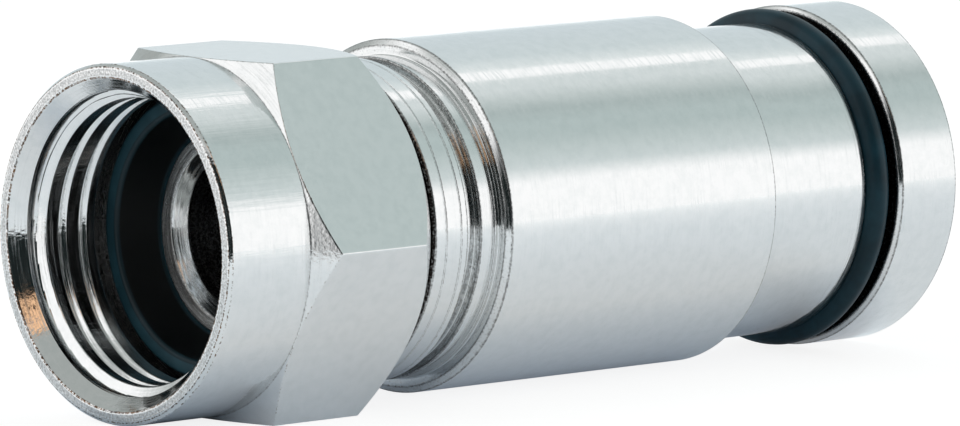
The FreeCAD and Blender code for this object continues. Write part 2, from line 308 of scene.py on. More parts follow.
@dataclass(frozen=True)
class MouldedNitrileRubber:
    """Moulded black nitrile rubber.

    It comes out of a blasted steel mould, so it is a dark blue-black with a soft sheen and
    a very fine grain. Its edges are painted paler, a little as rubbing and on the front
    seal's lip as a painted highlight, and it is painted near-black as shade in the front
    seal's funnel.
    """

    name: str
    colour: str = "#20404b"
    bloom: str = "#305562"
    # Paler edge colour: a painted highlight on the front seal's lip, and a little rubbing on other
    # edges
    edge_tone: str = "#b2cdd6"
    # Painted shade: near-black for the front seal's funnel, which lies in shadow
    painted_shade: str = "#04080a"
    roughness: float = 0.40
    roughness_spread: float = 0.08
    gloss: float = 0.22
    grain_mm: float = 0.06
    grain_depth_mm: float = 0.003
    cloud_mm: float = 1.4
    bloom_range: tuple[float, float] = (0.4, 0.75)

    def material(self) -> bpy.types.Material:
        """Build the node material.

        Returns:
            The material, which reads Object coordinates and the wear and grime attributes.
        """
        made, add = new_material(self.name)
        place = add("TexCoord", out="Object")
        grain, cloud = (
            add("TexNoise", {"Vector": place, "Scale": 1 / (size * MM), "Detail": detail})
            for size, detail in ((self.grain_mm, 2.0), (self.cloud_mm, 4.0))
        )
        start, end = self.bloom_range
        shade = add("MapRange", {"Value": cloud, "From Min": start, "From Max": end})
        attributes = [add("Attribute", out="Fac", attribute_name=name) for name in (WEAR_AND_HIGHLIGHT, GRIME_AND_SHADE)]
        colour = linear(self.colour)
        others = (self.bloom, self.edge_tone, self.painted_shade)
        # The cloud's bloom, then the paler edges with the painted lip highlight, then painted shade
        for share, other in zip((shade, *attributes), others):
            colour = add("Mix", {0: share, 6: colour, 7: linear(other)}, 2, data_type="RGBA")
        low, high = self.roughness - self.roughness_spread, self.roughness + self.roughness_spread
        rough = add("MapRange", {"Value": cloud, "To Min": low, "To Max": high})
        bump = add("Bump", {"Height": grain, "Distance": self.grain_depth_mm * MM, "Strength": 1.0})
        surface = add(
            "BsdfPrincipled",
            {
                "Base Color": colour,
                "Roughness": rough,
                "IOR": 1.52,
                "Specular IOR Level": self.gloss,
                "Normal": bump,
            },
        )
        add("OutputMaterial", {"Surface": surface})
        return made


@dataclass(frozen=True)
class MouldedAcetal:
    """Injection-moulded natural acetal.

    The resin is milky and slightly waxy, so light enters it a little and its gloss is soft.
    """

    name: str
    colour: str = "#eae9e2"
    shade: str = "#dbd9cf"
    roughness: float = 0.38
    roughness_spread: float = 0.06
    flow_mm: float = 1.2
    texture_mm: float = 0.05
    texture_depth_mm: float = 0.002

    def material(self) -> bpy.types.Material:
        """Build the node material.

        Returns:
            The material, which reads Object coordinates.
        """
        made, add = new_material(self.name)
        place = add("TexCoord", out="Object")
        flow, texture = (
            add(
                "TexNoise",
                {"Vector": place, "Scale": 1 / (size * MM), "Detail": detail, "Distortion": bend},
            )
            for size, detail, bend in ((self.flow_mm, 3.0, 0.6), (self.texture_mm, 1.0, 0.0))
        )
        ends = {6: linear(self.shade), 7: linear(self.colour)}
        colour = add("Mix", {0: flow, **ends}, 2, data_type="RGBA")
        low, high = self.roughness - self.roughness_spread, self.roughness + self.roughness_spread
        rough = add("MapRange", {"Value": texture, "To Min": low, "To Max": high})
        bump = add(
            "Bump", {"Height": texture, "Distance": self.texture_depth_mm * MM, "Strength": 1.0}
        )
        surface = add(
            "BsdfPrincipled",
            {
                "Base Color": colour,
                "Roughness": rough,
                "IOR": 1.48,
                "Subsurface Weight": 0.15,
                "Subsurface Radius": (0.6 * MM, 0.6 * MM, 0.5 * MM),
                "Subsurface Scale": 1.0,
                "Normal": bump,
            },
        )
        add("OutputMaterial", {"Surface": surface})
        return made


# Outlines and turned shells


@dataclass(frozen=True)
class Corner:
    """A corner of a turned outline.

    The fillet rounds it. Its wear is how much of its plating is rubbed off where it stands
    out; on rubber it paints the edge paler, and on the front seal's lip that is a painted
    highlight. Its grime darkens it where it goes in, partly as dirt and partly as painted
    shade. Marks is how deep the tool cut the face that runs from it to the next corner, and
    its soil how dark that face is painted: dirt on some faces, and painted shade on faces
    that lie in shadow.
    """

    station: float
    radius: float
    fillet: float = 0.03
    wear_and_highlight: float = 0.6
    grime: float = 0.6
    marks: float = 1.0
    soil_and_shade: float = 0.0


@dataclass(frozen=True)
class OutlinePoint:
    """A point of a finished outline, with the wear and painted highlight, the grime and painted
    shade, and the tool marks of its ring.
    """

    station: float
    radius: float
    wear_and_highlight: float = 0.0
    grime: float = 0.0
    marks: float = 1.0


ARC_STEPS = 4
DOME_STEPS = 18
SUPPORT_MARGIN = 0.045
# How much of a side of the outline a fillet and its holding points may take up
FILLET_SHARE, SUPPORT_SHARE = 0.42, 0.46


def rounded(corners: Sequence[Corner], closed: bool = True) -> list[OutlinePoint]:
    """Round the corners of an outline, with a holding point at each side of each arc.

    Args:
        corners: the outline's corners, with its material on the right-hand side.
        closed: whether the last corner joins the first.

    Returns:
        The points of the rounded outline, the same number for each corner.
    """
    places = [np.array((c.station, c.radius)) for c in corners]
    points: list[OutlinePoint] = []
    count = len(corners)
    for index, corner in enumerate(corners):
        here = places[index]
        if not closed and index in (0, count - 1):
            points.append(OutlinePoint(*here, grime=corner.soil_and_shade, marks=corner.marks))
            continue
        back = places[index - 1] - here
        ahead = places[(index + 1) % count] - here
        back_length, ahead_length = np.linalg.norm(back), np.linalg.norm(ahead)
        back, ahead = back / back_length, ahead / ahead_length
        turn = math.pi - math.acos(float(np.clip(back @ ahead, -1, 1)))
        room = FILLET_SHARE * min(back_length, ahead_length)
        setback = min(corner.fillet * math.tan(turn / 2), room)
        fillet = setback / math.tan(turn / 2)
        inward = (back + ahead) / np.linalg.norm(back + ahead)
        centre = here + inward * (fillet / math.cos(turn / 2))
        stands_out = back[0] * ahead[1] - back[1] * ahead[0] < 0
        # Outer edges get wear, and on rubber the painted lip highlight; hollows get grime, partly
        # dirt and partly painted shade
        wear_and_highlight = corner.wear_and_highlight if stands_out else 0.0
        behind = corners[index - 1]
        grime = max(0.0 if stands_out else corner.grime, min(behind.soil_and_shade, corner.soil_and_shade))
        before = here + back * min(setback + SUPPORT_MARGIN, SUPPORT_SHARE * back_length)
        after = here + ahead * min(setback + SUPPORT_MARGIN, SUPPORT_SHARE * ahead_length)
        start = here + back * setback - centre
        finish = here + ahead * setback - centre
        points.append(OutlinePoint(*before, grime=behind.soil_and_shade, marks=behind.marks))
        for step in range(ARC_STEPS + 1):
            share = step / ARC_STEPS
            spoke = (
                start * math.sin((1 - share) * turn) + finish * math.sin(share * turn)
            ) / math.sin(turn)
            points.append(OutlinePoint(*(centre + spoke), wear_and_highlight, grime))
        points.append(OutlinePoint(*after, grime=corner.soil_and_shade, marks=corner.marks))
    return points


def dome(
    start: tuple[float, float],
    end: tuple[float, float],
    start_pull: tuple[float, float],
    end_pull: tuple[float, float],
) -> list[Corner]:
    """The points of a rubber ring's rounded side, as a cubic curve.

    Args:
        start: the dome's first end, a station and a radius.
        end: its other end.
        start_pull: the point that the curve heads for as it leaves its first end.
        end_pull: the point that it comes from as it reaches its other end.

    Returns:
        Corners along the dome, with no fillets of their own.
    """
    poles = np.array((start, start_pull, end_pull, end))
    found = []
    for step in range(DOME_STEPS + 1):
        t = step / DOME_STEPS
        weights = np.array(((1 - t) ** 3, 3 * t * (1 - t) ** 2, 3 * t * t * (1 - t), t ** 3))
        station, radius = weights @ poles
        found.append(Corner(float(station), float(radius), 0))
    return found


@dataclass
class Shell:
    """Rings of points round the axis that become a mesh.

    Each ring has one outline point for each angle, so a shell may be round or follow the
    hexagon.
    """

    angles: Sequence[float]
    closed: bool = True

    def mesh(self, name: str, outline_at: Callable[[float], list[OutlinePoint]]) -> bpy.types.Mesh:
        """Sweep an outline round the axis.

        Args:
            name: the mesh's name.
            outline_at: gives the outline at an angle from +Y towards +Z.

        Returns:
            A mesh in metres, in the part's frame, with its wear and painted highlight, its grime
            and painted shade, and its tool marks.
        """
        columns = [outline_at(angle) for angle in self.angles]
        rings, count = len(columns[0]), len(columns)
        vertices: list[tuple[float, float, float]] = []
        marked: dict[str, list[float]] = {WEAR_AND_HIGHLIGHT: [], GRIME_AND_SHADE: [], MARKS: []}
        for angle, column in zip(self.angles, columns):
            for point in column:
                vertices.append((
                    (point.station - MIDDLE_STATION) * MM,
                    point.radius * math.cos(angle) * MM,
                    (AXIS_HEIGHT + point.radius * math.sin(angle)) * MM,
                ))
                marked[WEAR_AND_HIGHLIGHT].append(point.wear_and_highlight)
                marked[GRIME_AND_SHADE].append(point.grime)
                marked[MARKS].append(point.marks)
        faces = []
        for column in range(count):
            beside = (column + 1) % count
            for ring in range(rings if self.closed else rings - 1):
                above = (ring + 1) % rings
                faces.append((
                    column * rings + ring,
                    column * rings + above,
                    beside * rings + above,
                    beside * rings + ring,
                ))
        made = bpy.data.meshes.new(name)
        made.from_pydata(vertices, [], faces)
        for attribute, values in marked.items():
            made.attributes.new(attribute, "FLOAT", "POINT").data.foreach_set("value", values)
        return made


def even_angles(count: int) -> list[float]:
    """Angles spread evenly round the axis."""
    return [math.tau * step / count for step in range(count)]


def tidy_mesh(mesh: bpy.types.Mesh) -> None:
    """Point a closed mesh's faces outwards and shade it smooth.

    Args:
        mesh: the mesh, changed in place.
    """
    form = bmesh.new()
    form.from_mesh(mesh)
    bmesh.ops.remove_doubles(form, verts=form.verts, dist=WELD_DISTANCE / 2)
    bmesh.ops.dissolve_degenerate(form, edges=form.edges, dist=WELD_DISTANCE / 10)
    bmesh.ops.recalc_face_normals(form, faces=form.faces)
    if form.calc_volume(signed=True) < 0:
        bmesh.ops.reverse_faces(form, faces=form.faces)
    open_edges = sum(1 for edge in form.edges if not edge.is_manifold)
    form.to_mesh(mesh)
    form.free()
    mesh.shade_smooth()
    log.info("%s: %d open edges", mesh.name, open_edges)


def add_object(mesh: bpy.types.Mesh, *materials: bpy.types.Material) -> bpy.types.Object:
    """Put a mesh in the scene with its materials.

    Args:
        mesh: the mesh, whose name the object gets.
        materials: the finishes, in the order of the faces' indices.

    Returns:
        The new object, at the origin.
    """
    made = bpy.data.objects.new(mesh.name, mesh)
    bpy.context.scene.collection.objects.link(made)
    for material in materials:
        mesh.materials.append(material)
    return made


def settle(piece: bpy.types.Object, *materials: bpy.types.Material) -> bpy.types.Object:
    """Turn what a piece's modifiers make into its plain mesh.

    Args:
        piece: the piece, whose modifiers are removed.
        materials: the finishes that its faces name by index.

    Returns:
        The same piece, with the evaluated mesh.
    """
    graph = bpy.context.evaluated_depsgraph_get()
    final = bpy.data.meshes.new_from_object(piece.evaluated_get(graph))
    piece.modifiers.clear()
    piece.data = final
    final.name = piece.name
    final.materials.clear()
    for material in materials:
        final.materials.append(material)
    tidy_mesh(final)
    return piece


def declare(piece: bpy.types.Object, body: Body, node: str) -> None:
    """Put a piece on the body it rides on, hide the CAD node it stands for and log its size.

    Args:
        piece: the finished piece.
        body: the body that it moves with.
        node: the CAD node that it replaces.
    """
    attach(piece, body.value)
    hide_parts(node)
    low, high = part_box(node)
    places = np.array([v.co for v in piece.data.vertices])
    gap = max(
        float(np.abs(places.min(0) - np.array(low)).max()),
        float(np.abs(places.max(0) - np.array(high)).max()),
    )
    piece.data.calc_loop_triangles()
    triangles = len(piece.data.loop_triangles)
    log.info("%s: %d triangles, %.3f mm from the box of %s", piece.name, triangles, gap / MM, node)


def turned_piece(
    name: str, points: list[OutlinePoint], finish: bpy.types.Material, columns: int = 256
) -> bpy.types.Object:
    """A round piece from its outline.

    Args:
        name: the piece's name.
        points: its closed outline.
        finish: its material.
        columns: how many steps go round it.

    Returns:
        The piece, in place.
    """
    mesh = Shell(even_angles(columns)).mesh(name, lambda _angle: points)
    tidy_mesh(mesh)
    return add_object(mesh, finish)


# Sub-assemblies


@dataclass
class Nut:
    """The free-turning nut: round sleeve, hexagon, inner thread, shoulder and pocket."""

    turned: bpy.types.Material
    drawn: bpy.types.Material
    sleeve_r: float = 5.4796
    edge_break: float = 0.10
    mouth_r: float = 5.0596
    minor_r: float = 4.3656
    root_r: float = 4.65
    pitch: float = 25.4 / 32
    chamfer_end: float = 0.47
    chamfer_depth: float = 0.40
    relief_r: float = 4.665
    thread_start: float = 0.80
    thread_end: float = 3.10
    end_slope: float = 2.2
    lead_slope: float = 1.75
    crest_station: float = 1.209
    crest_share: float = 0.60
    flank_steepness: float = 1.05
    full_root_until: float = 0.80
    shallow_root_from: float = 1.25
    shallow_root_share: float = 0.66
    rows_per_pitch: int = 40
    chamber_r: float = 4.8825
    shoulder_front: float = 5.56
    shoulder_r: float = 3.56
    shoulder_rear: float = 6.56
    pocket_r: float = 4.52
    pocket_chamfer: float = 0.15
    sleeve_length: float = 3.12
    length: float = 7.93
    flat_r: float = 5.5
    corner_fillet: float = 0.07
    front_chamfer_deg: float = 32.0
    rear_chamfer_deg: float = 47.0
    rear_face_r: float = 5.47
    root_grime: float = 0.12
    flank_marks: float = 3.0
    crest_marks: float = 15.0
    columns: int = 288
    crowding: float = 0.88
    flat_slack: float = 0.002

    def angles(self) -> list[float]:
        """Angles that crowd towards the six corners of the hexagon."""
        spread = even_angles(self.columns)
        return [angle - self.crowding / 6 * math.sin(6 * angle) for angle in spread]

    def hexagon_r(self, angle: float) -> float:
        """The hexagon's radius at an angle.

        Args:
            angle: from +Y towards +Z, where corners stand at each sixth of a turn.

        Returns:
            The distance from the axis to the flat or to the rounded corner.
        """
        sixth = math.pi / 3
        off = abs((angle + sixth / 2) % sixth - sixth / 2)
        centre = (self.flat_r - self.corner_fillet) / math.cos(sixth / 2)
        half = math.atan2(
            self.corner_fillet * math.sin(sixth / 2),
            centre + self.corner_fillet * math.cos(sixth / 2),
        )
        if off < half:
            return centre * math.cos(off) + math.sqrt(
                self.corner_fillet ** 2 - (centre * math.sin(off)) ** 2
            )
        return self.flat_r / math.cos(sixth / 2 - off)

    def outline(self, angle: float) -> list[OutlinePoint]:
        """The nut's outline at an angle, open where the thread goes.

        Args:
            angle: from +Y towards +Z.

        Returns:
            Points from the rear end of the thread round the outside to its front end.
        """
        over = self.hexagon_r(angle)
        front_rise = math.tan(math.radians(self.front_chamfer_deg))
        rear_rise = math.tan(math.radians(self.rear_chamfer_deg))
        front = self.sleeve_length + (over - self.sleeve_r) * front_rise
        rear = self.length - (over - self.rear_face_r) * rear_rise
        chamfer_r = self.mouth_r - self.chamfer_depth
        return rounded(
            [
                # Painted shade: the chamber wall behind the thread and the shoulder face are
                # painted dark
                Corner(self.thread_end, self.chamber_r, soil_and_shade=0.9),
                Corner(self.shoulder_front, self.chamber_r, 0.05, soil_and_shade=0.6),
                Corner(self.shoulder_front, self.shoulder_r),
                Corner(self.shoulder_rear, self.shoulder_r),
                Corner(self.shoulder_rear, self.pocket_r, 0.05),
                Corner(self.length - self.pocket_chamfer, self.pocket_r),
                Corner(self.length, self.pocket_r + self.pocket_chamfer),
                Corner(self.length, self.rear_face_r, 0.02, 0.5),
                Corner(rear, over, 0.035, 0.35),
                Corner(front, over, 0.035, 0.66),
                Corner(self.sleeve_length, self.sleeve_r, 0.02, 0.2, 0.5),
                Corner(self.edge_break, self.sleeve_r, 0.05, 0.72),
                Corner(0, self.sleeve_r - self.edge_break, 0.05, 0.8, marks=14.0, soil_and_shade=0.45),
                Corner(0, self.mouth_r, 0.07, 0.84),
                Corner(self.chamfer_end, chamfer_r, 0.02, 0.6, marks=12.0, soil_and_shade=0.2),
                Corner(self.thread_start, self.relief_r, marks=12.0, soil_and_shade=0.2),
            ],
            closed=False,
        )

    def thread_tree(self) -> bpy.types.NodeTree:
        """Geometry nodes that cut the thread and join it to the nut's shell.

        Returns:
            The tree. Its grid has one row for each step along the pitch and one column for
            each angle, so the crest and the root of the thread lie along its rows.
        """
        tree = new_geometry_tree("thread_bore", self.thread_inputs())
        add = partial(add_node, tree)
        given = add("NodeGroupInput").node.outputs
        shell = add(
            "GeometryNodeMeshGrid", {"Vertices X": given["Columns"], "Vertices Y": given["Rows"]}
        )
        place = add("SeparateXYZ", {0: add("GeometryNodeInputPosition")}).node.outputs
        found = {socket.name: socket for socket in given}
        found |= {"Across": place["X"], "Along": place["Y"]}
        # Each step has the name of what it finds, its operation, and its terms by name or value
        steps = (
            # The columns crowd towards the corners of the hexagon outside
            ("turn", "MULTIPLY_ADD", "Across", math.tau, math.pi),
            ("six turns", "MULTIPLY", "turn", 6.0),
            ("bunch", "SINE", "six turns"),
            ("shift", "MULTIPLY", "bunch", "Crowding"),
            ("angle", "SUBTRACT", "turn", "shift"),
            ("turns", "DIVIDE", "angle", math.tau),
            # A right-hand thread: the station grows as the angle turns from +Y to +Z about +X
            ("last row", "SUBTRACT", "Rows", 1.0),
            ("row", "MULTIPLY_ADD", "Along", "last row", 0.0),
            ("half", "MULTIPLY", "last row", 0.5),
            ("row", "ADD", "row", "half"),
            ("row", "ROUND", "row"),
            ("pitches", "DIVIDE", "row", "Rows per Pitch"),
            ("pitches", "ADD", "pitches", "turns"),
            ("station", "MULTIPLY_ADD", "pitches", "Pitch", "First Station"),
            # Rows that come near the end of the crests lie on it
            ("near end", "COMPARE", "station", "Crest End", "Half Row"),
            ("way to end", "SUBTRACT", "Crest End", "station"),
            ("station", "MULTIPLY_ADD", "near end", "way to end", "station"),
            ("station", "MAXIMUM", "station", "Thread Start"),
            ("station", "MINIMUM", "station", "Thread End"),
            # How deep the row is between a crest, 0, and the flat root, 1
            ("along", "SUBTRACT", "station", "First Station"),
            ("along", "DIVIDE", "along", "Pitch"),
            ("phase", "SUBTRACT", "along", "turns"),
            ("phase", "FRACT", "phase"),
            ("swing", "MULTIPLY_ADD", "phase", 2.0, -1.0),
            ("swing", "ABSOLUTE", "swing"),
            ("swing", "SUBTRACT", 1.0, "swing"),
            ("flat share", "SUBTRACT", 1.0, "Crest Share"),
            ("rest", "DIVIDE", "swing", "flat share"),
            ("rest", "MINIMUM", "rest", 1.0),
            ("depth", "SUBTRACT", 1.0, "rest"),
            ("depth", "MULTIPLY", "depth", "Flank Steepness"),
            ("depth", "MINIMUM", "depth", 1.0),
            # The tap's lead leaves the root full at the mouth and shallow further in
            ("fade", "SUBTRACT", "station", "Full Root Until"),
            ("span", "SUBTRACT", "Shallow Root From", "Full Root Until"),
            ("fade", "DIVIDE", "fade", "span"),
            ("fade", "MAXIMUM", "fade", 0.0),
            ("fade", "MINIMUM", "fade", 1.0),
            ("loss", "SUBTRACT", "Shallow Root Share", 1.0),
            ("share", "MULTIPLY_ADD", "fade", "loss", 1.0),
            ("full depth", "SUBTRACT", "Root Radius", "Minor Radius"),
            ("full depth", "MULTIPLY", "full depth", "share"),
            ("cut", "MULTIPLY_ADD", "depth", "full depth", "Minor Radius"),
            ("to end", "SUBTRACT", "Thread End", "station"),
            ("end drop", "MULTIPLY", "to end", "End Slope"),
            ("end flare", "SUBTRACT", "Chamber Radius", "end drop"),
            ("radius", "MAXIMUM", "cut", "end flare"),
            # The thread starts on a cone, as the countersink left it
            ("lead drop", "SUBTRACT", "station", "Thread Start"),
            ("lead drop", "MULTIPLY", "lead drop", "Lead Slope"),
            ("lead", "SUBTRACT", "Relief Radius", "lead drop"),
            ("radius", "MAXIMUM", "radius", "lead"),
            # The first row is the edge of the plain band behind the mouth's chamfer
            ("first row", "LESS_THAN", "row", 0.5),
            ("way to band", "SUBTRACT", "Relief Radius", "radius"),
            ("radius", "MULTIPLY_ADD", "first row", "way to band", "radius"),
            ("x", "SUBTRACT", "station", "Middle Station"),
            ("y", "COSINE", "angle"),
            ("y", "MULTIPLY", "radius", "y"),
            ("z", "SINE", "angle"),
            ("z", "MULTIPLY_ADD", "radius", "z", "Axis Height"),
            ("grime", "MULTIPLY", "depth", "Root Grime"),
            ("rise", "SUBTRACT", 1.0, "depth"),
            ("marks", "MULTIPLY_ADD", "rise", "Crest Marks", "Flank Marks"),
        )
        for name, operation, *terms in steps:
            inputs = {order: found.get(term, term) for order, term in enumerate(terms)}
            found[name] = add("Math", inputs, operation=operation)
        spot = add("CombineXYZ", {axis.upper(): found[axis] for axis in "xyz"})
        metres = add("VectorMath", {0: spot, "Scale": MM}, operation="SCALE")
        for attribute, name in ((GRIME_AND_SHADE, "grime"), (MARKS, "marks")):
            shell = add(
                "GeometryNodeStoreNamedAttribute",
                {"Geometry": shell, "Name": attribute, "Value": found[name]},
                data_type="FLOAT",
                domain="POINT",
            )
        shell = add("GeometryNodeSetPosition", {"Geometry": shell, "Position": metres})
        shell = add("GeometryNodeSetMaterial", {"Geometry": shell, "Material": given["Finish"]})
        joined = add("GeometryNodeJoinGeometry", {0: given["Geometry"]})
        tree.links.new(shell, joined.node.inputs[0])
        real = add("GeometryNodeRealizeInstances", {0: joined})
        welded = add("GeometryNodeMergeByDistance", {"Geometry": real, "Distance": WELD_DISTANCE})
        add("NodeGroupOutput", {0: welded})
        return tree

    def thread_inputs(self) -> dict[str, object]:
        """The values of the thread tree's inputs, by name."""
        before = math.ceil((self.crest_station - self.thread_start) / self.pitch + 0.5) + 1
        first = self.crest_station - (before - 0.5) * self.pitch
        rows = math.ceil((self.thread_end - first) / self.pitch * self.rows_per_pitch) + 3
        return {
            "Pitch": self.pitch,
            "Minor Radius": self.minor_r,
            "Root Radius": self.root_r,
            "Relief Radius": self.relief_r,
            "First Station": first,
            "Thread Start": self.thread_start,
            "Thread End": self.thread_end,
            "Chamber Radius": self.chamber_r,
            "End Slope": self.end_slope,
            "Lead Slope": self.lead_slope,
            "Crest End": self.thread_end - (self.chamber_r - self.minor_r) / self.end_slope,
            "Half Row": 0.51 * self.pitch / self.rows_per_pitch,
            "Crest Share": self.crest_share,
            "Flank Steepness": self.flank_steepness,
            "Full Root Until": self.full_root_until,
            "Shallow Root From": self.shallow_root_from,
            "Shallow Root Share": self.shallow_root_share,
            "Root Grime": self.root_grime,
            "Crest Marks": self.crest_marks - self.flank_marks,
            "Flank Marks": self.flank_marks,
            "Crowding": self.crowding / 6,
            "Axis Height": AXIS_HEIGHT,
            "Middle Station": MIDDLE_STATION,
            "Columns": self.columns + 1,
            "Rows": rows,
            "Rows per Pitch": float(self.rows_per_pitch),
            "Finish": self.turned,
        }

    def build(self) -> bpy.types.Object:
        """Make the nut and dress it.

        Returns:
            The nut, with turned and drawn faces.
        """
        mesh = Shell(self.angles(), closed=False).mesh("hex_nut", self.outline)
        piece = add_object(mesh, self.turned)
        use_tree(piece, self.thread_tree(), self.thread_inputs())
        settle(piece, self.turned, self.drawn)
        self.mark_flats(piece.data)
        return piece

    def mark_flats(self, mesh: bpy.types.Mesh) -> None:
        """Give the six flats the drawn finish.

        Args:
            mesh: the nut's mesh, whose faces get their material index.
        """
        for face in mesh.polygons:
            across = math.hypot(face.normal.y, face.normal.z)
            middle = math.hypot(face.center.y, face.center.z - AXIS_HEIGHT * MM)
            angle = math.atan2(face.normal.z, face.normal.y) % (math.pi / 3)
            flat = across > 1 - self.flat_slack / 2 and abs(angle - math.pi / 6) < self.flat_slack
            face.material_index = int(flat and middle > self.sleeve_r * MM)


@dataclass
class Post:
    """The hollow post, from its contact ring in the nut to its barbed tail."""

    finish: bpy.types.Material
    bore_r: float = 2.45
    mouth_chamfer: float = 0.30
    mouth_chamfer_length: float = 0.42
    nose_r: float = 3.27
    nose_front: float = 4.60
    nose_chamfer: float = 0.06
    flange_front: float = 5.00
    flange_r: float = 4.30
    flange_seat: float = 5.50
    journal_r: float = 3.50
    journal_end: float = 6.62
    shank_r: float = 3.00
    shank_end: float = 12.22
    tail_r: float = 2.75
    barb_front: float = 16.37
    barb_r: float = 3.05
    barb_end: float = 17.37
    tip: float = 17.57

    def build(self) -> bpy.types.Object:
        """Make the post and dress it.

        Returns:
            The post, in place.
        """
        outline = rounded([
            # The nose's front face is painted darker
            Corner(
                self.nose_front, self.bore_r + self.mouth_chamfer, 0.04, 0.3, marks=22.0, soil_and_shade=0.5
            ),
            Corner(self.nose_front, self.nose_r - self.nose_chamfer, 0.03, 0.5, marks=10.0),
            Corner(self.nose_front + self.nose_chamfer, self.nose_r, 0.02, 0.2),
            Corner(self.flange_front, self.nose_r, 0.02),
            Corner(self.flange_front, self.flange_r, 0.04),
            Corner(self.flange_seat, self.flange_r, 0.04),
            Corner(self.flange_seat, self.journal_r, 0.03),
            Corner(self.journal_end, self.journal_r, 0.03),
            Corner(self.journal_end, self.shank_r, 0.03),
            Corner(self.shank_end, self.shank_r, 0.03),
            Corner(self.shank_end, self.tail_r, 0.04),
            Corner(self.barb_front, self.tail_r, 0.03),
            Corner(self.barb_front, self.barb_r, 0.02),
            Corner(self.barb_end, self.tail_r, 0.1),
            Corner(self.tip, self.bore_r + self.nose_chamfer, 0.02),
            # Painted shade: the bore, deep in shadow, is painted dark back to the mouth's chamfer
            Corner(self.tip, self.bore_r, 0.01, soil_and_shade=0.85),
            Corner(self.nose_front + self.mouth_chamfer_length, self.bore_r, 0.03, 0.3, marks=4.0),
        ])
        return turned_piece("hollow_post", outline, self.finish)


@dataclass
class Seals:
    """The three rubber rings: at the port, behind the nut and before the rear flange."""

    finish: bpy.types.Material
    ring_finish: bpy.types.Material
    front_inner_r: float = 3.28
    front_outer_r: float = 4.34
    front_rear: float = 4.99
    front_lip: float = 3.30
    front_lip_r: float = 3.83
    funnel_end: float = 4.55
    swivel_front: float = 7.10
    swivel_rear: float = 7.96
    swivel_inner_r: float = 3.61
    swivel_outer_r: float = 4.47
    swivel_columns: int = 192
    ring_front: float = 26.78
    ring_rear: float = 27.83
    ring_inner_r: float = 4.35
    ring_side_r: float = 4.86
    ring_pull_r: float = 5.63
    ring_lean: float = 0.88
    ring_edge: float = 0.1

    def front_seal(self) -> bpy.types.Object:
        """The ring that meets the port: square at the post's flange, with a funnel inside."""
        outline = rounded([
            # Painted highlight: the lip is given full wear, which paints it pale
            Corner(self.front_lip, self.front_lip_r, 0.14, 1.0),
            Corner(self.front_lip, self.front_outer_r, 0.05, 0.2),
            Corner(self.front_rear, self.front_outer_r, 0.08, 0.0),
            Corner(self.front_rear, self.front_inner_r, 0.03, 0.0),
            # Painted shade: the funnel, which lies in shadow, is painted near-black
            Corner(self.funnel_end, self.front_inner_r, 0.1, 0.0, soil_and_shade=1.0),
        ])
        return turned_piece("front_seal_ring", outline, self.finish)

    def rear_ring(self) -> bpy.types.Object:
        """The ring before the rear flange, with a rounded outside that leans forward."""
        crown = dome(
            (self.ring_front, self.ring_side_r),
            (self.ring_rear, self.ring_inner_r + self.ring_edge),
            (self.ring_front, self.ring_pull_r),
            (self.ring_front + self.ring_lean, self.ring_pull_r),
        )
        foot = (
            Corner(self.ring_rear, self.ring_inner_r, 0.05, 0.0),
            Corner(self.ring_front, self.ring_inner_r, 0.2, 0.0),
        )
        sides = rounded([crown[-1], *foot, crown[0]], closed=False)
        outline = [OutlinePoint(c.station, c.radius) for c in crown[:-1]] + sides[:-1]
        return turned_piece("rear_seal_ring", outline, self.ring_finish)

    def swivel_seal(self) -> bpy.types.Object:
        """The square-cut ring on the spigot, in the pocket at the back of the nut."""
        outline = rounded([
            Corner(self.swivel_front, self.swivel_inner_r, 0.05, 0.2),
            Corner(self.swivel_front, self.swivel_outer_r, 0.05, 0.2),
            Corner(self.swivel_rear, self.swivel_outer_r, 0.05, 0.2),
            Corner(self.swivel_rear, self.swivel_inner_r, 0.05, 0.2),
        ])
        return turned_piece("swivel_seal_ring", outline, self.finish, self.swivel_columns)


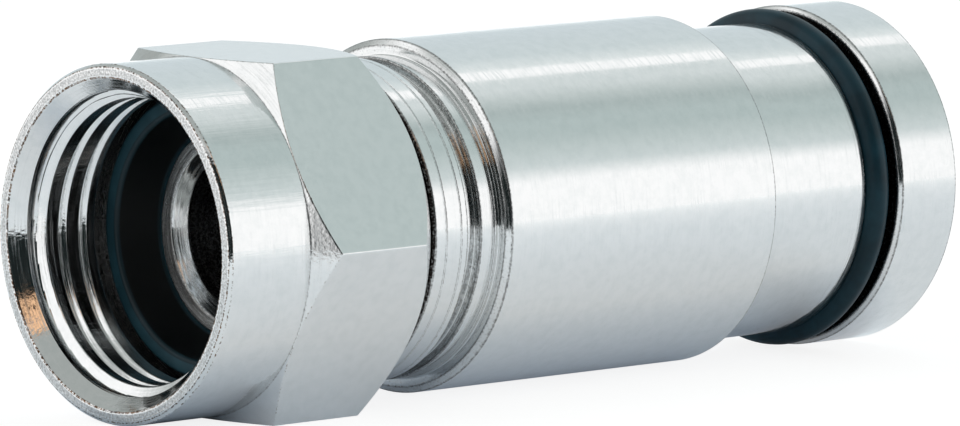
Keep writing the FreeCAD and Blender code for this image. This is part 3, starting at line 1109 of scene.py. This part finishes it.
@dataclass
class ConnectorBody:
    """The turned body: spigot, grooved neck, barrel and the bore for the sleeve."""

    finish: bpy.types.Material
    shank_hole_r: float = 3.01
    spigot_front: float = 6.62
    spigot_r: float = 3.60
    neck_front: float = 8.50
    neck_r: float = 5.00
    edge_break: float = 0.09
    groove_front: float = 9.94
    groove_r: float = 4.73
    rib_front: float = 10.39
    barrel_front: float = 11.12
    turning_lines: tuple[float, ...] = (9.01, 9.61, 10.98)
    line_depth: float = 0.012
    line_half: float = 0.022
    barrel_chamfer: float = 0.20
    barrel_chamfer_length: float = 0.14
    barrel_r: float = 5.49
    barrel_rear: float = 22.39
    rear_break: float = 0.06
    bore_r: float = 5.01
    bore_front: float = 13.52
    cavity_front: float = 12.22
    cavity_r: float = 4.20

    def build(self) -> bpy.types.Object:
        """Make the body and dress it.

        Returns:
            The body, in place.
        """
        first, second, third = (self.turning_line(station) for station in self.turning_lines)
        outline = rounded([
            Corner(self.spigot_front, self.shank_hole_r),
            Corner(self.spigot_front, self.spigot_r),
            # Painted shade: the neck's front face and its edge break, in the gap behind the nut,
            # are painted dark
            Corner(self.neck_front, self.spigot_r, soil_and_shade=1.0),
            Corner(self.neck_front, self.neck_r - self.edge_break, 0.03, 0.8, marks=4.0, soil_and_shade=0.95),
            Corner(self.neck_front + self.edge_break, self.neck_r, 0.03, 0.8, marks=2.0),
            *first,
            *second,
            Corner(self.groove_front - self.edge_break, self.neck_r, 0.02, 0.6),
            Corner(self.groove_front, self.neck_r - self.edge_break, 0.02, 0.8),
            # The groove's floor is painted a little darker and its rear wall darker still
            Corner(self.groove_front, self.groove_r, 0.03, 0.5, 0.8, marks=2.5, soil_and_shade=0.15),
            Corner(self.rib_front, self.groove_r, 0.03, 0.5, 0.8, marks=2.5, soil_and_shade=0.5),
            Corner(self.rib_front, self.neck_r, 0.05, 0.9, marks=2.5),
            *third,
            # The barrel's front face and chamfer are painted a little darker
            Corner(self.barrel_front, self.neck_r, 0.03, 0.5, 0.7, marks=3.0, soil_and_shade=0.2),
            Corner(
                self.barrel_front,
                self.barrel_r - self.barrel_chamfer,
                0.03,
                0.8,
                marks=3.0,
                soil_and_shade=0.2,
            ),
            Corner(self.barrel_front + self.barrel_chamfer_length, self.barrel_r, 0.04, 0.95),
            Corner(self.barrel_rear - self.rear_break, self.barrel_r, 0.03, 0.5),
            Corner(self.barrel_rear, self.barrel_r - self.rear_break, 0.02, 0.72),
            Corner(self.barrel_rear, self.bore_r),
            Corner(self.bore_front, self.bore_r),
            Corner(self.cavity_front, self.cavity_r),
            Corner(self.cavity_front, self.shank_hole_r),
        ])
        return turned_piece("turned_body", outline, self.finish)

    def turning_line(self, station: float) -> list[Corner]:
        """A fine line that the tool left round the neck, at a station."""
        return [
            Corner(station - self.line_half, self.neck_r, 0.0, 0.0, marks=0.0),
            Corner(station, self.neck_r - self.line_depth, 0.0, 0.0, 0.12, marks=0.0),
            Corner(station + self.line_half, self.neck_r, 0.0, 0.0, marks=2.0),
        ]


@dataclass
class PressSleeve:
    """The sleeve that is pressed home: tube, ring groove and rear flange."""

    finish: bpy.types.Material
    front: float = 17.90
    lead: float = 0.15
    tube_r: float = 4.96
    pocket_r: float = 4.31
    pocket_end: float = 20.83
    bore_r: float = 3.80
    groove_front: float = 26.77
    groove_r: float = 4.34
    flange_front: float = 27.84
    flange_r: float = 5.45
    flange_break: float = 0.10
    front_chamfer: float = 0.14
    cable_chamfer: float = 0.40

    def build(self) -> bpy.types.Object:
        """Make the sleeve and dress it.

        Returns:
            The sleeve, in place.
        """
        outline = rounded([
            Corner(self.front, self.pocket_r),
            Corner(self.front, self.tube_r - self.lead),
            Corner(self.front + self.lead, self.tube_r),
            Corner(self.groove_front, self.tube_r, 0.05, 0.4),
            Corner(self.groove_front, self.groove_r),
            # Painted shadow: the flange's front face, in the ring's shadow, is painted dark
            Corner(self.flange_front, self.groove_r, soil_and_shade=1.0, marks=0.3),
            Corner(self.flange_front, self.flange_r - self.front_chamfer, 0.07, 1.0, marks=3.0),
            Corner(self.flange_front + self.flange_break, self.flange_r, 0.04, 0.75),
            Corner(REAR_END - self.flange_break, self.flange_r, 0.04, 0.5),
            Corner(REAR_END, self.flange_r - self.flange_break, 0.04, 0.5),
            Corner(REAR_END, self.bore_r + self.cable_chamfer, 0.04, 0.6),
            Corner(REAR_END - self.cable_chamfer, self.bore_r, 0.05, 0.3),
            Corner(self.pocket_end, self.bore_r),
            Corner(self.pocket_end, self.pocket_r),
        ])
        return turned_piece("press_sleeve", outline, self.finish)


@dataclass
class GripFerrule:
    """The plastic ring that closes on the cable, its nose cut into fingers."""

    finish: bpy.types.Material
    front: float = 16.60
    nose_end: float = 17.90
    slot_end: float = 19.00
    rear: float = 20.80
    bore_r: float = 3.60
    outer_r: float = 4.28
    nose_r: float = 3.95
    fingers: int = 6
    slot_width: float = 0.50
    columns: int = 12
    edge_round: float = 0.05
    sharp_deg: float = 40.0

    def finger(self) -> bpy.types.Mesh:
        """One finger and its share of the ring behind it, centred on the axis of +Y.

        Returns:
            The mesh, open at the two planes where the next fingers join it.
        """
        stations = [self.front, self.nose_end, self.slot_end, self.rear]
        outer = [self.nose_r, self.outer_r, self.outer_r, self.outer_r]
        half = math.pi / self.fingers
        form = bmesh.new()
        corners: dict[tuple[int, int, int], bmesh.types.BMVert] = {}

        def corner(row: int, column: int, layer: int) -> bmesh.types.BMVert:
            """The vertex at a row along the axis, a column round it and a layer across the wall."""
            key = (row, column, layer)
            if key not in corners:
                radius = outer[row] if layer else self.bore_r
                free = half - math.asin(self.slot_width / 2 / radius)
                share = (column - 1) / (self.columns - 2) * 2 - 1
                angle = free * share
                if column in (0, self.columns):
                    angle = math.copysign(half, column - 0.5)
                corners[key] = form.verts.new((
                    (stations[row] - MIDDLE_STATION) * MM,
                    radius * math.cos(angle) * MM,
                    (AXIS_HEIGHT + radius * math.sin(angle)) * MM,
                ))
            return corners[key]

        def solid(row: int, column: int) -> bool:
            """Whether there is plastic between a row and a column and the next ones."""
            in_slot = row < 2 and column in (0, self.columns - 1)
            return 0 <= row < 3 and not in_slot

        for row in range(3):
            for column in range(self.columns):
                if not solid(row, column):
                    continue
                cell = (
                    (row, column), (row + 1, column), (row + 1, column + 1), (row, column + 1)
                )
                for layer in (0, 1):
                    form.faces.new([corner(*spot, layer) for spot in cell])
                for beyond, first, second in (
                    ((row - 1, column), cell[0], cell[3]),
                    ((row + 1, column), cell[1], cell[2]),
                    ((row, column - 1), cell[0], cell[1]),
                    ((row, column + 1), cell[3], cell[2]),
                ):
                    if 0 <= beyond[1] < self.columns and not solid(*beyond):
                        wall = ((*first, 0), (*first, 1), (*second, 1), (*second, 0))
                        form.faces.new([corner(*spot) for spot in wall])
        bmesh.ops.recalc_face_normals(form, faces=form.faces)
        mesh = bpy.data.meshes.new("slotted_ferrule")
        form.to_mesh(mesh)
        form.free()
        return mesh

    def ring_tree(self) -> bpy.types.NodeTree:
        """Geometry nodes that repeat a finger round the axis.

        Returns:
            The tree, with the number of fingers, the height of the axis and the finish.
        """
        tree = new_geometry_tree("finger_ring", self.ring_inputs())
        add = partial(add_node, tree)
        given = add("NodeGroupInput").node.outputs
        lift = add("CombineXYZ", {"Z": given["Axis Height"]})
        drop = add("VectorMath", {0: lift, "Scale": -1.0}, operation="SCALE")
        finger = add("GeometryNodeTransform", {"Geometry": given["Geometry"], "Translation": drop})
        spots = add(
            "GeometryNodeMeshLine",
            {"Count": given["Fingers"], "Start Location": lift, "Offset": (0, 0, 0)},
            mode="OFFSET",
        )
        step = add("Math", {0: math.tau, 1: given["Fingers"]}, operation="DIVIDE")
        turn = add("Math", {0: add("GeometryNodeInputIndex"), 1: step}, operation="MULTIPLY")
        turned = add("CombineXYZ", {"X": turn})
        copies = {"Points": spots, "Instance": finger, "Rotation": turned}
        ring = add("GeometryNodeInstanceOnPoints", copies)
        real = add("GeometryNodeRealizeInstances", {0: ring})
        welded = add("GeometryNodeMergeByDistance", {"Geometry": real, "Distance": WELD_DISTANCE})
        dressed = add("GeometryNodeSetMaterial", {"Geometry": welded, "Material": given["Finish"]})
        add("NodeGroupOutput", {0: dressed})
        return tree

    def ring_inputs(self) -> dict[str, object]:
        """The values of the ring tree's inputs, by name."""
        return {"Fingers": self.fingers, "Axis Height": AXIS_HEIGHT * MM, "Finish": self.finish}

    def build(self) -> bpy.types.Object:
        """Make the ferrule and dress it.

        Returns:
            The ferrule, in place.
        """
        piece = add_object(self.finger(), self.finish)
        use_tree(piece, self.ring_tree(), self.ring_inputs())
        rounding = piece.modifiers.new("edges", "BEVEL")
        rounding.width = self.edge_round * MM
        rounding.segments = 2
        rounding.limit_method = "ANGLE"
        rounding.angle_limit = math.radians(self.sharp_deg)
        return settle(piece, self.finish)


# Studio


@dataclass(frozen=True)
class Viewpoint:
    """The photograph's camera: far away behind a long lens, a little above the axis."""

    place_mm: tuple[float, float, float] = (-191.925, -213.74, 39.31)
    azimuth_deg: float = 41.87
    drop_deg: float = 6.756
    lens_mm: float = 348.04
    sensor_mm: float = 36.0
    clip_mm: tuple[float, float] = (10.0, 1700.0)

    def build(self) -> None:
        """Make the camera and give it to the scene."""
        data = bpy.data.cameras.new("camera")
        data.lens = self.lens_mm
        data.sensor_width = self.sensor_mm
        data.clip_start, data.clip_end = (distance * MM for distance in self.clip_mm)
        camera = bpy.data.objects.new("camera", data)
        bpy.context.scene.collection.objects.link(camera)
        azimuth, drop = math.radians(self.azimuth_deg), math.radians(self.drop_deg)
        ahead = Vector((
            math.sin(azimuth) * math.cos(drop), math.cos(azimuth) * math.cos(drop), -math.sin(drop)
        ))
        right = ahead.cross(Vector((0, 0, 1))).normalized()
        up = right.cross(ahead)
        turned = Matrix((right, up, -ahead)).transposed().to_4x4()
        camera.matrix_world = Matrix.Translation(Vector(self.place_mm) * MM) @ turned
        bpy.context.scene.camera = camera


@dataclass(frozen=True)
class Studio:
    """A white light tent with an opening for the camera, and a white card to lie on.

    The metal shows the tent: white at the height of the axis on the right, soft grey above,
    a strip lamp over the part, and the dark opening round the lens. A bearing is in degrees
    from -Y towards +X, a height is the upward part of a direction, and a reach is its
    part along +X.
    """

    brightness: float = 1.3
    card_sides: tuple[float, float] = (-52.0, 150.0)
    card_ends: tuple[float, float] = (-90.0, 150.0)
    card_colour: str = "#f4f5f5"
    # What the metal sees of the card: a bluish darker copy of the paper as painted shade, and a
    # painted glow that is weaker under the part as painted shadow
    card_shade: str = "#d8e5f2"
    card_light: float = 1.22
    shadow_share: float = 0.3
    glow_colour: str = "#fff5ea"
    shade_glow_colour: str = "#e4ebf4"
    least_glow: float = 0.12
    card_glow: float = 0.42
    far_glow: float = 0.36
    far_range: tuple[float, float] = (12.0, 90.0)
    dim_range: tuple[float, float] = (-14.0, -3.0)
    covered_middle: float = -2.0
    covered_half: float = 11.8
    glow_range: tuple[float, float] = (1.0, 6.0)
    tones: tuple[tuple[float, str], ...] = (
        (0, "#ffffff"), (24, "#ffffff"), (34, "#cdd6d6"), (46, "#bfcac9"), (56, "#b2bfbe"),
        (64, "#b4c1c0"), (74, "#abb7b6"), (83, "#c2cbca"), (91, "#d4dbdb"), (101, "#d1d9d9"),
        (102, "#ffffff"), (109.5, "#ffffff"), (111, "#dde4e4"), (124, "#cad4d6"), (166, "#c4ced2"),
        (173, "#ccd6d9"), (180, "#eef2f4"),
    )
    strip_lean_deg: float = 4.5
    strip_end_reach: tuple[float, float] = (0.2, -0.05)
    left_end_reach: tuple[float, float] = (-0.5, -0.6)
    left_end_height: tuple[float, float] = (0.72, 0.66)
    left_side_deg: tuple[float, float] = (-95.0, -105.0)
    behind_deg: tuple[float, float] = (-170.0, -150.0)
    opening_left_deg: tuple[float, float] = (-80.0, -71.0)
    opening_right_deg: tuple[float, float] = (15.0, -10.0)
    opening_height: tuple[float, float] = (0.72, 0.60)
    opening: str = "#1c2222"
    ceiling: str = "#a3a8a6"
    warm_edge: str = "#5d4236"
    warm_patch: str = "#f6c69c"
    warm_line: tuple[tuple[float, float], ...] = ((-45.0, 34.0), (-48.5, 40.0), (-53.0, 46.5))
    warm_half_deg: tuple[float, float] = (6.0, 4.5)
    core_half_deg: tuple[float, float] = (5.6, 3.4)

    def world(self) -> None:
        """Build the tent as the world, which is plain white where the camera looks."""
        world = bpy.data.worlds.new("light_tent")
        bpy.context.scene.world = world
        world.use_nodes = True
        world.node_tree.nodes.clear()
        add = partial(add_node, world.node_tree)
        toward = add("TexCoord", out="Generated")
        x, y, z = add("SeparateXYZ", {0: toward}).node.outputs
        # Round the axis from -Y over the top to +Y, leaning a little with the strip lamp
        nearness = add("Math", {0: y, 1: -1.0}, operation="MULTIPLY")
        roll = add("Math", {0: z, 1: nearness}, operation="ARCTAN2")
        lean = math.radians(self.strip_lean_deg)
        roll = add("Math", {0: x, 1: lean, 2: roll}, operation="MULTIPLY_ADD")
        share = add("Math", {0: roll, 1: math.pi}, operation="DIVIDE")
        tent = add("ValToRGB", {0: share})
        set_ramp(tent.node, [(degrees / 180, colour) for degrees, colour in self.tones])
        bearing = add("Math", {0: x, 1: nearness}, operation="ARCTAN2")
        # A warm thing leans across the opening and tints the mouth of the nut
        match = -1.0
        for spot_deg in self.warm_line:
            pair = {0: toward, 1: self.toward(*spot_deg)}
            near = add("VectorMath", pair, "Value", operation="DOT_PRODUCT")
            match = add("Math", {0: near, 1: match}, operation="MAXIMUM")
        turned = {
            side: tuple(math.radians(angle) for angle in pair)
            for side, pair in (
                ("left side", self.left_side_deg),
                ("behind", self.behind_deg),
                ("opening left", self.opening_left_deg),
                ("opening right", self.opening_right_deg),
            )
        }
        warm_half, core_half = (
            tuple(math.cos(math.radians(angle)) for angle in pair)
            for pair in (self.warm_half_deg, self.core_half_deg)
        )
        beyond, end, below, round_left, behind, left, right, under, warm, core = (
            add(
                "MapRange",
                {"Value": value, "From Min": start, "From Max": end},
                interpolation_type=curve,
            )
            for value, (start, end), curve in (
                (x, self.strip_end_reach, "LINEAR"),
                (x, self.left_end_reach, "LINEAR"),
                (z, self.left_end_height, "LINEAR"),
                (bearing, turned["left side"], "LINEAR"),
                (bearing, turned["behind"], "LINEAR"),
                (bearing, turned["opening left"], "SMOOTHSTEP"),
                (bearing, turned["opening right"], "SMOOTHSTEP"),
                (z, self.opening_height, "SMOOTHSTEP"),
                (match, warm_half, "SMOOTHSTEP"),
                (match, core_half, "SMOOTHSTEP"),
            )
        )
        round_left = add("Math", {0: round_left, 1: behind}, operation="MULTIPLY")
        end = add("Math", {0: end, 1: round_left}, operation="MAXIMUM")
        end = add("Math", {0: end, 1: below}, operation="MULTIPLY")
        open_share = add("Math", {0: left, 1: right}, operation="MULTIPLY")
        open_share = add("Math", {0: open_share, 1: under}, operation="MULTIPLY")
        warmth = {6: linear(self.warm_edge), 7: linear(self.warm_patch)}
        glow = add("Mix", {0: core, **warmth}, 2, data_type="RGBA")
        for share, other in (
            # Beyond the lens the strip ends, and the ceiling is grey
            (beyond, linear(self.ceiling)),
            # The left end of the tent is plain white up to its ceiling
            (end, linear(WHITE)),
            # The opening goes from the left of the lens to its right and up well over it
            (open_share, linear(self.opening)),
            (warm, glow),
        ):
            tent = add("Mix", {0: share, 6: tent, 7: other}, 2, data_type="RGBA")
        seen = add("Background", {"Color": linear(WHITE), "Strength": 1.0})
        felt = add("Background", {"Color": tent, "Strength": self.brightness})
        camera = add("LightPath", out="Is Camera Ray")
        add("OutputWorld", {0: add("MixShader", {0: camera, 1: felt, 2: seen})})

    @staticmethod
    def toward(bearing_deg: float, height_deg: float) -> tuple[float, float, float]:
        """A direction from its bearing and the angle of its height over the floor.

        Args:
            bearing_deg: the bearing in degrees.
            height_deg: the height in degrees.

        Returns:
            The unit vector.
        """
        bearing, height = math.radians(bearing_deg), math.radians(height_deg)
        level = math.cos(height)
        return (level * math.sin(bearing), -level * math.cos(bearing), math.sin(height))

    def card(self) -> None:
        """Build the card: white to the camera but for the part's shadow, a painted glow to the
        metal.
        """
        (left, right), (near, far) = self.card_sides, self.card_ends
        corners = ((left, near), (right, near), (right, far), (left, far))
        mesh = bpy.data.meshes.new("white_card")
        mesh.from_pydata([(x * MM, y * MM, 0) for x, y in corners], [], [(0, 1, 2, 3)])
        made, add = new_material("white_card_stock")
        paper, shaded_paper = (
            add("BsdfDiffuse", {"Color": linear(colour)})
            for colour in (self.card_colour, self.card_shade)
        )
        white = add("Emission", {"Color": linear(WHITE), "Strength": self.card_light})
        seen = add("MixShader", {0: self.shadow_share, 1: white, 2: paper})
        # Painted shadow: what the metal shows of the card is a painted glow that is weaker under
        # the part
        place = add("TexCoord", out="Object")
        middle = (self.covered_middle * MM, 0, 0)
        from_middle = add("VectorMath", {0: place, 1: middle}, operation="SUBTRACT")
        parts = add("SeparateXYZ", {0: from_middle}).node.outputs
        along, beside = (add("Math", {0: part}, operation="ABSOLUTE") for part in parts[:2])
        along = add("Math", {0: along, 1: self.covered_half * MM}, operation="SUBTRACT")
        away = add("Math", {0: beside, 1: along}, operation="MAXIMUM")
        # The painted shadow is deeper under the wide nut than under the barrel, and towards the
        # horizon the painted glow gets as light as the tent, with no line between them
        clear, least, distant = (
            add(
                "MapRange",
                {"Value": value, "From Min": start * MM, "From Max": end * MM, "To Max": most},
            )
            for value, (start, end), most in (
                (away, self.glow_range, 1.0),
                (add("SeparateXYZ", {0: place}), self.dim_range, self.least_glow),
                (away, self.far_range, self.far_glow),
            )
        )
        strength = add("MapRange", {"Value": clear, "To Min": least, "To Max": self.card_glow})
        strength = add("Math", {0: strength, 1: distant}, operation="ADD")
        ends = {6: linear(self.shade_glow_colour), 7: linear(self.glow_colour)}
        tint = add("Mix", {0: clear, **ends}, 2, data_type="RGBA")
        glow = add("Emission", {"Color": tint, "Strength": strength})
        # What the metal sees: the shaded copy of the paper with the painted glow added
        mirrored = add("AddShader", {0: shaded_paper, 1: glow})
        path = add("LightPath").node.outputs
        lit = add("MixShader", {0: path["Is Glossy Ray"], 1: paper, 2: mirrored})
        surface = add("MixShader", {0: path["Is Camera Ray"], 1: lit, 2: seen})
        add("OutputMaterial", {0: surface})
        add_object(mesh, made)

    def build(self) -> None:
        """Make the tent and the card."""
        self.world()
        self.card()
        bpy.context.scene.view_settings.view_transform = "Standard"


def main() -> None:
    """Build the camera, the studio and each piece of the connector."""
    logging.basicConfig(level=logging.INFO, format="%(name)s: %(message)s")
    Viewpoint().build()
    Studio().build()
    turned = NickelPlatedBrass("nickel_plated_turned_brass").material()
    bored = NickelPlatedBrass("nickel_plated_bored_brass", chatter_depth_mm=0.004).material()
    drawn = NickelPlatedBrass(
        "nickel_plated_drawn_brass",
        polish=0.23,
        dullest=0.26,
        anisotropy=0.0,
        mark_depth_mm=0.00002,
    ).material()
    rubber = MouldedNitrileRubber("moulded_nitrile_rubber").material()
    acetal = MouldedAcetal("moulded_natural_acetal").material()
    ring_rubber = MouldedNitrileRubber(
        "moulded_teal_nitrile_rubber",
        colour="#0f2b35",
        bloom="#1d4350",
        edge_tone="#47626a",
        gloss=0.2,
    ).material()
    seals = Seals(rubber, ring_rubber)
    declare(Nut(bored, drawn).build(), Body.NUT, "nut")
    declare(Post(turned).build(), Body.BODY, "post")
    declare(seals.front_seal(), Body.BODY, "front_seal")
    declare(seals.swivel_seal(), Body.BODY, "swivel_seal")
    declare(ConnectorBody(turned).build(), Body.BODY, "body")
    declare(PressSleeve(turned).build(), Body.SLEEVE, "compression_sleeve")
    declare(seals.rear_ring(), Body.SLEEVE, "rear_o_ring")
    declare(GripFerrule(acetal).build(), Body.SLEEVE, "grip_ferrule")


if __name__ == "__main__":
    main()
